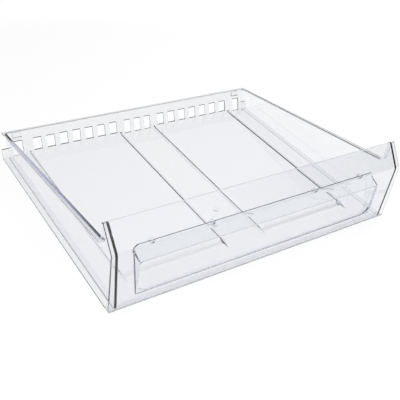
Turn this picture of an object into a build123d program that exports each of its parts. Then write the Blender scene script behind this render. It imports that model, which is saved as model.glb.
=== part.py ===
from build123d import *
import os
from math import atan2, cos, degrees, radians, sin, tan

# One-piece injection moulded freezer drawer in clear plastic, drawn in millimetres.
# Y runs from the front panel to the back wall, and the drawer stands on Z = 0.

# Front panel: an upright lower half and an upper half that leans back
panel_width = 453.0
panel_height = 117.0
panel_wall = 3.0
panel_top_wall = 3.8
kink_height = 86.5
lean_back = 23.0
kink_radius = 9.0
panel_edge_round = 1.0

# Tray: drafted side walls, a leaning back wall and a rim that falls towards the back
depth = 362.0
tray_width = 438.0
wall = 2.0
side_wall = 3.2
side_draft = 2.0
rear_lean = 18.7
corner_radius = 8.0
front_rim_height = 84.0
rear_rim_height = 36.0

# Rim flange: it widens to the front and turns up behind the panel
rear_flange = 4.0
rim_flange_rear = 1.5
gusset_depth = 28.0
gusset_radius = 9.0
rim_round_share = 0.9

# Runner flanges along the foot of the side walls, closed by ears at the back
ear_height = 14.0
ear_proud = 0.5
ear_overlap = 11.0

# Floor: two raised plateaus beside a centre channel, with a low strip at each side
plateau_rise = 3.0
plateau_front = 33.0
plateau_ramp = 18.0
plateau_wall = 2.4
channel_width = 60.5
side_strip = 30.5
gate_diameter = 9.0
gate_rise = 0.8
gate_distance = 115.0

# Vent slots through the back wall, flush with each level of the floor so that water runs out
slot_head = 13.7
plateau_slots = 7
plateau_slot_pitch = 21.2
plateau_slot_width = 13.0
channel_slots = 3
channel_slot_pitch = 18.4
channel_slot_width = 11.5
corner_slot_width = 13.0
corner_slot_inset = 18.0

# Stop blocks behind the back wall, above the corner slots
stop_width = 13.5
stop_height = 7.5
stop_thickness = 2.5

# Finger opening in the front panel
opening_width = 384.0
opening_bottom = 17.0
opening_top = 64.5
opening_bottom_radius = 16.0
opening_top_radius = 6.0

# Finger pocket behind the opening: a leaning plate between two cheeks
pocket_wall = 2.0
pocket_top = 78.0
pocket_depth = 14.5
pocket_corner_radius = 8.0
pocket_edge_round = 0.8
stud_diameter = 7.0
stud_proud = 4.0
stud_inner_spacing = 166.0
stud_outer_spacing = 334.0

# Values that follow from the sizes above
pick = panel_edge_round / 100
skin = panel_wall / 2
upper_rise = panel_height - kink_height
lean_angle = atan2(lean_back, upper_rise)
inset = Vector(cos(lean_angle), -sin(lean_angle)) * panel_wall
back_kink_height = kink_height - panel_wall * tan(lean_angle / 2)
tan_lean = tan(radians(rear_lean))
tan_draft = tan(radians(side_draft))
rear_wall_run = wall / cos(radians(rear_lean))
side_wall_run = side_wall / cos(radians(side_draft))
rim_round = rim_round_share * wall
rim_fall = (front_rim_height - rear_rim_height) / (depth - gusset_depth)
floor_top = wall
plateau_top = floor_top + plateau_rise
plateau_outer = tray_width / 2 - side_wall - side_strip
slot_top = rear_rim_height - slot_head
corner_slot_middle = tray_width / 2 - corner_slot_inset
pocket_half = opening_width / 2 - pocket_wall


def rear_outer(z):
    """Y of the back wall's outer face at height z."""
    return depth - rear_flange - (rear_rim_height - z) * tan_lean


def rear_inner(z):
    """Y of the back wall's inner face at height z."""
    return rear_outer(z) - rear_wall_run


def side_outer(z):
    """Half width over the side walls' outer faces at height z."""
    return tray_width / 2 + z * tan_draft


def rim_height(y):
    """Height of the rim's top face at distance y from the front."""
    return front_rim_height - (y - gusset_depth) * rim_fall


def polygon(*points):
    return make_face(Polyline(*points, close=True))


def across(profile, width):
    """Extrude a profile drawn as (y, z) over a width centred on the drawer."""
    return extrude(Plane.YZ * profile, amount=width / 2, both=True)


def both_sides(solid):
    return solid + mirror(solid, about=Plane.YZ)


def panel_profile():
    front_top = Vector(lean_back, panel_height)
    back_top = front_top + inset * (panel_top_wall / panel_wall)
    face = polygon(
        (0, 0),
        (0, kink_height),
        (front_top.X, front_top.Y),
        (back_top.X, back_top.Y),
        (panel_wall, back_kink_height),
        (panel_wall, 0),
    )
    by_height = face.vertices().sort_by(Axis.Y)
    front_foot = by_height[:2].sort_by(Axis.X)[0]
    face = fillet([front_foot] + by_height[4:], panel_edge_round)
    by_front = face.vertices().filter_by_position(Axis.Y, kink_height - skin, kink_height + skin)
    face = fillet(by_front.sort_by(Axis.X)[0], kink_radius)
    by_back = face.vertices().filter_by_position(Axis.X, panel_wall - pick, panel_wall + pick)
    return fillet(by_back.sort_by(Axis.Y)[-1], kink_radius - panel_wall)


def finger_opening():
    """The opening as a prism through the panel, with rounder corners at its foot."""
    half = opening_width / 2
    face = polygon(
        (-half, opening_bottom), (half, opening_bottom), (half, opening_top), (-half, opening_top)
    )
    face = fillet(face.vertices().group_by(Axis.Y)[0], opening_bottom_radius)
    face = fillet(face.vertices().group_by(Axis.Y)[-1], opening_top_radius)
    return extrude(Plane.XZ * face, amount=2 * panel_wall, both=True)


def side_profile(lowered):
    """Side view of a tray wall, its rim and the edge behind the panel set in by lowered."""
    edge = gusset_depth - lowered
    end = depth + corner_radius
    top_corner = Vector(lean_back, panel_height) + inset / 2
    mid_top = top_corner - Vector(sin(lean_angle), cos(lean_angle)) * panel_top_wall
    face = polygon(
        (skin, 0),
        (skin, kink_height),
        (mid_top.X, mid_top.Y),
        (edge, mid_top.Y),
        (edge, rim_height(edge) - lowered),
        (end, rim_height(end) - lowered),
        (end, 0),
    )
    crook = face.vertices().sort_by_distance((edge, rim_height(edge) - lowered))[0]
    return fillet(crook, gusset_radius + lowered)


def tub(front, bottom, side_inset, rear_inset, radius):
    """Tapered block with rounded rear corners, from bottom up to the panel's height."""
    sections = []
    for z in (bottom, panel_height):
        half = side_outer(z) - side_inset
        rear = rear_outer(z) - rear_inset
        face = polygon((-half, front), (half, front), (half, rear), (-half, rear))
        face = fillet(face.vertices().group_by(Axis.Y)[-1], radius)
        sections.append(Pos(0, 0, z) * face)
    return loft(sections, ruled=True)


def tray_shell(inside):
    """Floor, side walls and back wall under the sloping rim."""
    outside = tub(skin, 0, 0, 0, corner_radius)
    return (outside - inside) & across(side_profile(0), 2 * panel_width)


def rim_flange(inside):
    """Flat flange round the rim, in plan a wedge that is widest at the panel."""
    band = across(side_profile(0) - side_profile(wall), 2 * panel_width)
    half = panel_width / 2
    rear_half = side_outer(rear_rim_height) + rim_flange_rear
    plan = polygon(
        (-half, skin), (half, skin), (half, gusset_depth), (rear_half, depth), (-rear_half, depth),
        (-half, gusset_depth),
    )
    return (band & extrude(plan, amount=panel_height)) - inside


def round_rim(body):
    """Round the rim's inner edge, where the walls turn out into the flange."""
    corner = (0, rear_inner(rear_rim_height), rear_rim_height)
    edge = body.edges().filter_by(Axis.X).sort_by_distance(corner)[0]
    return fillet(edge, rim_round)


def runner_flanges():
    """Foot flanges flush with the panel's ends, with the floor plate between them."""
    plate = polygon((skin, 0), (rear_inner(0) + skin, 0), (rear_inner(wall) + skin, wall), (skin, wall))
    return across(plate, panel_width)


def flange_ear():
    """Upright ear at the rear end of one flange, grown out of the corner of the back wall."""
    profile = polygon(
        (rear_inner(0) + ear_proud, 0),
        (rear_outer(0) + ear_proud, 0),
        (rear_outer(ear_height) + ear_proud, ear_height),
        (rear_inner(ear_height) + ear_proud, ear_height),
    )
    inner_end = tray_width / 2 - ear_overlap
    middle = (panel_width / 2 + inner_end) / 2
    return Pos(middle, 0, 0) * across(profile, panel_width / 2 - inner_end)


def plateau_block(top, edge, rear):
    """Block under one raised floor panel, edge in from its outline, rear in from the wall."""
    front = plateau_front + edge
    profile = polygon(
        (front, 0),
        (rear_inner(0) - rear, 0),
        (rear_inner(top) - rear, top),
        (front + plateau_ramp * top / plateau_top, top),
    )
    width = plateau_outer - channel_width / 2 - 2 * edge
    middle = (plateau_outer + channel_width / 2) / 2
    return Pos(middle, 0, 0) * across(profile, width)


def vent_slot(middle, width, floor):
    height = slot_top - floor
    reach = depth - rear_inner(0)
    centre = (middle, rear_inner(0) + reach / 2, slot_top - height / 2)
    return Pos(*centre) * Box(width, 2 * reach, height)


def slot_row(count, pitch, middle, width, floor):
    first = middle - pitch * (count - 1) / 2
    return [vent_slot(first + pitch * i, width, floor) for i in range(count)]


def vent_slots():
    """All slots: seven over each plateau, three over the channel, one over each side strip."""
    plateau_middle = (plateau_outer + channel_width / 2) / 2
    slots = slot_row(channel_slots, channel_slot_pitch, 0, channel_slot_width, floor_top)
    for side in (-1, 1):
        slots += slot_row(
            plateau_slots, plateau_slot_pitch, side * plateau_middle, plateau_slot_width, plateau_top
        )
        slots += slot_row(1, 0, side * corner_slot_middle, corner_slot_width, floor_top)
    return slots


def stop_block():
    """Small block on the back of the wall, under the rim flange."""
    top = rear_rim_height - wall
    foot = top - stop_height
    profile = polygon(
        (rear_inner(top) + skin, top),
        (rear_outer(top) + stop_thickness, top),
        (rear_outer(foot) + stop_thickness, foot),
        (rear_inner(foot) + skin, foot),
    )
    return Pos(corner_slot_middle, 0, 0) * across(profile, stop_width)


def pocket_plate_y(z):
    """Y of the pocket plate's front face: it leaves the panel at the opening's foot."""
    share = (z - opening_bottom) / (pocket_top - opening_bottom)
    return panel_wall + (pocket_depth - pocket_wall) * share


def pocket_plate():
    foot = opening_bottom - pocket_wall
    profile = polygon(
        (skin, foot),
        (skin, opening_bottom),
        (pocket_plate_y(opening_bottom), opening_bottom),
        (pocket_plate_y(pocket_top), pocket_top),
        (pocket_plate_y(pocket_top) + pocket_wall, pocket_top),
        (pocket_plate_y(opening_bottom) + pocket_wall, foot),
    )
    profile = fillet(profile.vertices().sort_by(Axis.Y)[-2:], pocket_edge_round)
    half = opening_width / 2
    outline = polygon((-half, 0), (half, 0), (half, pocket_top), (-half, pocket_top))
    outline = fillet(outline.vertices().group_by(Axis.Y)[-1], pocket_corner_radius)
    return across(profile, opening_width) & extrude(Plane.XZ * outline, amount=-2 * pocket_depth)


def pocket_cheek():
    """Web that closes one end of the pocket between the panel and the plate."""
    shoulder = pocket_top - pocket_corner_radius
    profile = polygon(
        (skin, opening_bottom),
        (pocket_plate_y(opening_bottom) + skin, opening_bottom),
        (pocket_plate_y(shoulder) + skin, shoulder),
        (skin, opening_top),
    )
    return Pos(pocket_half + pocket_wall / 2, 0, 0) * across(profile, pocket_wall)


def pocket_stud():
    """Round stud on the back of the pocket plate, level with its top edge."""
    root = pocket_plate_y(pocket_top) + pocket_wall / 8
    end = pocket_plate_y(pocket_top) + pocket_wall + stud_proud
    height = pocket_top - stud_diameter / 2
    return Pos(0, (root + end) / 2, height) * Rot(90, 0, 0) * Cylinder(stud_diameter / 2, end - root)


def finger_pocket():
    pocket = pocket_plate() + both_sides(pocket_cheek())
    for spacing in (stud_inner_spacing, stud_outer_spacing):
        pocket += both_sides(Pos(spacing / 2, 0, 0) * pocket_stud())
    return pocket


def front_panel():
    return across(panel_profile(), panel_width) - finger_opening()


def gate_mark():
    """Round trace of the sprue in the centre channel."""
    height = floor_top + gate_rise
    return Pos(0, gate_distance, height / 2) * Cylinder(gate_diameter / 2, height)


def drawer():
    inside = tub(-panel_wall, floor_top, side_wall_run, rear_wall_run, corner_radius - wall)
    body = tray_shell(inside) + rim_flange(inside) + runner_flanges()
    body = round_rim(body)
    body += both_sides(plateau_block(plateau_top, 0, -skin))
    body -= both_sides(plateau_block(plateau_top - plateau_wall, wall, -2 * rear_wall_run))
    body += both_sides(flange_ear()) + both_sides(stop_block())
    body -= vent_slots()
    body += front_panel() + finger_pocket() + gate_mark()
    return Pos(0, -depth / 2, 0) * body


os.makedirs("parts", exist_ok=True)
result = drawer()
export_step(result, "parts/drawer.step")
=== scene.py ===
import bpy
from mathutils import Matrix, Vector


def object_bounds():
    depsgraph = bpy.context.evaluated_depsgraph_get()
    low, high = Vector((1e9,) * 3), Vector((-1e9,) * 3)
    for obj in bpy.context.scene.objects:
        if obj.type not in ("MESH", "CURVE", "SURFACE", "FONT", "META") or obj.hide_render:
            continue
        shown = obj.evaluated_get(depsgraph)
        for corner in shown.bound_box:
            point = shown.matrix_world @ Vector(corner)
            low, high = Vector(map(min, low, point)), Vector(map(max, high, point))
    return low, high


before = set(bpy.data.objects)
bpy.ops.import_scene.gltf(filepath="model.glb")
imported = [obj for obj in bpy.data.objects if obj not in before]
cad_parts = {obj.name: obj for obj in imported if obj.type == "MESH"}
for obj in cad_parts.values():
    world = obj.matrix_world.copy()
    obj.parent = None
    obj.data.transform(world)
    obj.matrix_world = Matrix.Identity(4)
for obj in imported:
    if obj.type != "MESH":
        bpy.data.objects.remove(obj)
cad_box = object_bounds()


# Drawer
# One injection moulding: front panel, tray, rim, runner flanges and finger pocket in a single shot.
# It is clear polystyrene, gated in the middle of the floor, with walls of 2 to 4 mm.

def linear(hex_colour):
    """An sRGB hex colour as linear RGBA."""
    parts = [int(hex_colour[i:i + 2], 16) / 255 for i in (1, 3, 5)]
    return [c / 12.92 if c <= 0.04045 else ((c + 0.055) / 1.055) ** 2.4 for c in parts] + [1.0]


def add(tree, kind, links=None, **settings):
    """Adds a node. links maps an input's name or number to an output socket or a fixed value."""
    node = tree.nodes.new(kind)
    for name, value in settings.items():
        setattr(node, name, value)
    for name, value in (links or {}).items():
        if isinstance(value, bpy.types.NodeSocket):
            tree.links.new(value, node.inputs[name])
        else:
            node.inputs[name].default_value = value
    return node


# Clear polystyrene from a polished mould: colourless with a faint blue cast, glossy on both faces.
# Wide, shallow waves of the cooling walls bend what is seen through them by a hair.
polystyrene = bpy.data.materials.new("clear_polystyrene_moulded")
polystyrene.use_nodes = True
tree = polystyrene.node_tree
tree.nodes.clear()
place = add(tree, "ShaderNodeTexCoord")
wave_width, wave_depth, wave_strength = 0.045, 0.0004, 0.02
waves = add(tree, "ShaderNodeTexNoise", {
    "Vector": place.outputs["Object"], "Scale": 1 / wave_width, "Detail": 1.0})
skin_relief = add(tree, "ShaderNodeBump", {
    "Height": waves.outputs["Fac"], "Strength": wave_strength, "Distance": wave_depth})

# Handling leaves the polish a trace uneven, in spots about as wide as a fingertip.
fingertip, handled_roughness = 0.012, 0.002
clean_noise, handled_noise = 0.35, 0.75
handling = add(tree, "ShaderNodeTexNoise", {
    "Vector": place.outputs["Object"], "Scale": 1 / fingertip, "Detail": 3.0})
gloss = add(tree, "ShaderNodeMapRange", {
    "Value": handling.outputs["Fac"], "From Min": clean_noise, "From Max": handled_noise,
    "To Min": 0.0, "To Max": handled_roughness})

# It has also rubbed the sharp edges dull. They are where a rounded normal turns away from the face's.
rubbed_width, rubbed_roughness = 0.0008, 0.25
flat_cosine, edge_cosine = 0.999, 0.9
edge = add(tree, "ShaderNodeBevel", {"Radius": rubbed_width}, samples=4)
face = add(tree, "ShaderNodeNewGeometry")
turn = add(tree, "ShaderNodeVectorMath", {
    0: edge.outputs["Normal"], 1: face.outputs["Normal"]}, operation="DOT_PRODUCT")
rubbed = add(tree, "ShaderNodeMapRange", {
    "Value": turn.outputs["Value"], "From Min": flat_cosine, "From Max": edge_cosine,
    "To Min": 0.0, "To Max": rubbed_roughness})

# The underside is matt along the front panel's foot, from being set down.
foot_back, foot_fade, foot_roughness = cad_box[0][1] + 0.010, 0.002, 0.8
underside_low, underside_high = 0.0002, 0.0008
spot = add(tree, "ShaderNodeSeparateXYZ", {0: place.outputs["Object"]})
foot_depth = add(tree, "ShaderNodeMapRange", {
    "Value": spot.outputs["Y"], "From Min": foot_back, "From Max": foot_back + foot_fade,
    "To Min": foot_roughness, "To Max": 0.0})
foot_height = add(tree, "ShaderNodeMapRange", {
    "Value": spot.outputs["Z"], "From Min": underside_low, "From Max": underside_high,
    "To Min": 1.0, "To Max": 0.0})
foot = add(tree, "ShaderNodeMath", {
    0: foot_depth.outputs["Result"], 1: foot_height.outputs["Result"]}, operation="MULTIPLY")

# The rim's flange is hazed where hands and the shelf above touch it. Its top falls by 48 mm over
# 334 mm of depth, so the flange is what stands above a plane with that fall, behind the gussets.
rim_fall, rim_underside, rim_fade, rim_roughness = 0.048 / 0.334, 0.060, 0.0006, 0.28
gusset_back, gusset_fade = cad_box[0][1] + 0.033, 0.002
along_rim = add(tree, "ShaderNodeVectorMath", {
    0: place.outputs["Object"], 1: Vector((0, rim_fall, 1))}, operation="DOT_PRODUCT")
rim_height = add(tree, "ShaderNodeMapRange", {
    "Value": along_rim.outputs["Value"],
    "From Min": rim_underside, "From Max": rim_underside + rim_fade,
    "To Min": 0.0, "To Max": rim_roughness})
rim_length = add(tree, "ShaderNodeMapRange", {
    "Value": spot.outputs["Y"], "From Min": gusset_back, "From Max": gusset_back + gusset_fade})
rim = add(tree, "ShaderNodeMath", {
    0: rim_height.outputs["Result"], 1: rim_length.outputs["Result"]}, operation="MULTIPLY")

dull = gloss.outputs["Result"]
for wear in (rubbed.outputs["Result"], foot.outputs[0], rim.outputs[0]):
    dull = add(tree, "ShaderNodeMath", {0: dull, 1: wear}, operation="MAXIMUM").outputs[0]
clear = add(tree, "ShaderNodeBsdfPrincipled", {
    "Base Color": linear("#FAFBFB"), "Roughness": dull, "IOR": 1.58,
    "Transmission Weight": 1.0, "Normal": skin_relief.outputs["Normal"]})

# Light on its way to the floor passes the thin walls unbent, so the floor under them stays bright.
lit_through = add(tree, "ShaderNodeBsdfTransparent", {"Color": linear("#FBFBFC")})
path = add(tree, "ShaderNodeLightPath")
soft_light = add(tree, "ShaderNodeMixShader", {
    0: path.outputs["Is Diffuse Ray"], 1: clear.outputs["BSDF"], 2: lit_through.outputs["BSDF"]})
seen = add(tree, "ShaderNodeMixShader", {
    0: path.outputs["Is Shadow Ray"], 1: soft_light.outputs["Shader"],
    2: lit_through.outputs["BSDF"]})

# A trace of blue-violet toner hides the polymer's yellow. It shows in long paths, as along the rims.
toner = add(tree, "ShaderNodeVolumeAbsorption", {"Color": linear("#7C86CE"), "Density": 12.0})
add(tree, "ShaderNodeOutputMaterial", {
    "Surface": seen.outputs["Shader"], "Volume": toner.outputs["Volume"]})

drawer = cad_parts["drawer"]
drawer.data.materials.clear()
drawer.data.materials.append(polystyrene)


# Floor
# A wide sweep of matt white paper, laid flat just under the drawer.
# It carries the faint shadow and otherwise reads as plain white.

floor_size, floor_level = 8.0, -0.0005
half = floor_size / 2
corners = [(-half, -half), (half, -half), (half, half), (-half, half)]
mesh = bpy.data.meshes.new("floor")
mesh.from_pydata([(x, y, floor_level) for x, y in corners], [], [(0, 1, 2, 3)])
floor = bpy.data.objects.new("floor", mesh)
bpy.context.scene.collection.objects.link(floor)

# Uncoated white paper has no gloss. Where it is seen, straight, mirrored or through the plastic, a
# glow lifts it to white and leaves it the shadow. Other light meets the plain matt sheet.
paper = bpy.data.materials.new("matt_white_paper")
paper.use_nodes = True
tree = paper.node_tree
tree.nodes.clear()
path = add(tree, "ShaderNodeLightPath")
seen_ray = path.outputs["Is Camera Ray"]
for ray in ("Is Glossy Ray", "Is Transmission Ray"):
    seen_ray = add(tree, "ShaderNodeMath", {
        0: seen_ray, 1: path.outputs[ray]}, operation="MAXIMUM").outputs[0]
matt = add(tree, "ShaderNodeBsdfDiffuse", {"Color": linear("#E6E6E6")})
shaded = add(tree, "ShaderNodeBsdfDiffuse", {"Color": linear("#ADADAD")})

# The lamps reach only the middle of the sweep, so it glows more further out and runs on to white.
lamp_reach, white_reach = 0.6, 1.8
middle_glow, far_glow = 0.61, 1.0
ground = add(tree, "ShaderNodeNewGeometry")
reach = add(tree, "ShaderNodeVectorMath", {0: ground.outputs["Position"]}, operation="LENGTH")
lift = add(tree, "ShaderNodeMapRange", {
    "Value": reach.outputs["Value"], "From Min": lamp_reach, "From Max": white_reach,
    "To Min": middle_glow, "To Max": far_glow})
glow = add(tree, "ShaderNodeEmission", {
    "Color": linear("#FFFFFF"), "Strength": lift.outputs["Result"]})
white = add(tree, "ShaderNodeAddShader", {0: shaded.outputs["BSDF"], 1: glow.outputs["Emission"]})
cover = add(tree, "ShaderNodeMixShader", {
    0: seen_ray, 1: matt.outputs["BSDF"], 2: white.outputs["Shader"]})
add(tree, "ShaderNodeOutputMaterial", {"Surface": cover.outputs["Shader"]})
floor.data.materials.append(paper)


# Studio
# Two large soft lamps stand for the diffused light of the room, and only the room shows in the gloss.
# It is dim, with a pale screen high in front of the drawer and a wider one behind it on the right.

def soft_lamp(name, stand, watts):
    lamp = bpy.data.lights.new(name, "AREA")
    lamp.shape = "SQUARE"
    lamp.size = 1.2
    lamp.energy = watts
    holder = bpy.data.objects.new(name, lamp)
    drawer_middle = Vector((0, 0, 0.03))
    holder.location = stand
    holder.rotation_euler = (drawer_middle - Vector(stand)).to_track_quat("-Z", "Y").to_euler()
    holder.visible_glossy = False
    holder.visible_transmission = False
    bpy.context.scene.collection.objects.link(holder)


soft_lamp("key_lamp", (-1.0, -1.2, 1.9), 30.0)
soft_lamp("fill_lamp", (1.4, 0.6, 1.8), 20.0)

room = bpy.data.worlds.new("studio_room")
bpy.context.scene.world = room
room.use_nodes = True
tree = room.node_tree
tree.nodes.clear()
way = add(tree, "ShaderNodeTexCoord")


def room_patch(direction, fade_cosine, core_cosine, outside, inside):
    """A soft round patch of the room: its level runs from outside to inside towards a direction."""
    near = add(tree, "ShaderNodeVectorMath", {
        0: way.outputs["Generated"], 1: Vector(direction).normalized()}, operation="DOT_PRODUCT")
    return add(tree, "ShaderNodeMapRange", {
        "Value": near.outputs["Value"], "From Min": fade_cosine, "From Max": core_cosine,
        "To Min": outside, "To Max": inside}).outputs["Result"]


room_level, front_level, back_level = 0.2, 1.3, 0.8
front_screen = room_patch((0.40, -0.80, 0.45), fade_cosine=0.92, core_cosine=0.995,
                          outside=0.0, inside=front_level)
back_screen = room_patch((0.73, 0.485, 0.48), fade_cosine=0.6, core_cosine=1.0,
                         outside=room_level, inside=back_level)
gloss_level = add(tree, "ShaderNodeMath", {0: front_screen, 1: back_screen}, operation="ADD")

# At the horizon the room ends in the white sweep, which the clear walls show as well. A dark flag
# stands in front, on the right, where the back wall would mirror the sweep.
sweep_low, sweep_high = 0.05, 0.15
unflagged = room_patch((0.438, -0.899, 0.0), fade_cosine=0.951, core_cosine=0.978,
                       outside=1.0, inside=0.0)
toward = add(tree, "ShaderNodeSeparateXYZ", {0: way.outputs["Generated"]})
sweep_end = add(tree, "ShaderNodeMapRange", {
    "Value": toward.outputs["Z"], "From Min": sweep_low, "From Max": sweep_high,
    "To Min": unflagged, "To Max": 0.0})
path = add(tree, "ShaderNodeLightPath")
by_plastic = add(tree, "ShaderNodeMath", {
    0: path.outputs["Is Glossy Ray"], 1: path.outputs["Is Transmission Ray"]}, operation="MAXIMUM")
horizon = add(tree, "ShaderNodeMath", {
    0: sweep_end.outputs["Result"], 1: by_plastic.outputs[0]}, operation="MULTIPLY")
backdrop = add(tree, "ShaderNodeMath", {
    0: horizon.outputs[0], 1: path.outputs["Is Camera Ray"]}, operation="MAXIMUM")
level = add(tree, "ShaderNodeMath", {
    0: gloss_level.outputs[0], 1: backdrop.outputs[0]}, operation="MAXIMUM")
air = add(tree, "ShaderNodeBackground", {
    "Color": linear("#FFFFFF"), "Strength": level.outputs[0]})
add(tree, "ShaderNodeOutputWorld", {"Surface": air.outputs["Background"]})


# Camera
# A long normal lens above the drawer's left front corner, held with a slight roll.

lens = bpy.data.cameras.new("camera")
lens.sensor_width = 36.0
lens.lens = 57.84
camera = bpy.data.objects.new("camera", lens)
right = Vector((0.8306, -0.5419, 0.1281))
up = Vector((0.2368, 0.5519, 0.7997))
back = -Vector((0.5041, 0.6339, -0.5867))
stand = Vector((-0.4789, -0.6310, 0.5480))
camera.matrix_world = Matrix.Translation(stand) @ Matrix((right, up, back)).transposed().to_4x4()
bpy.context.scene.collection.objects.link(camera)
bpy.context.scene.camera = camera
bpy.context.scene.view_settings.view_transform = "Standard"
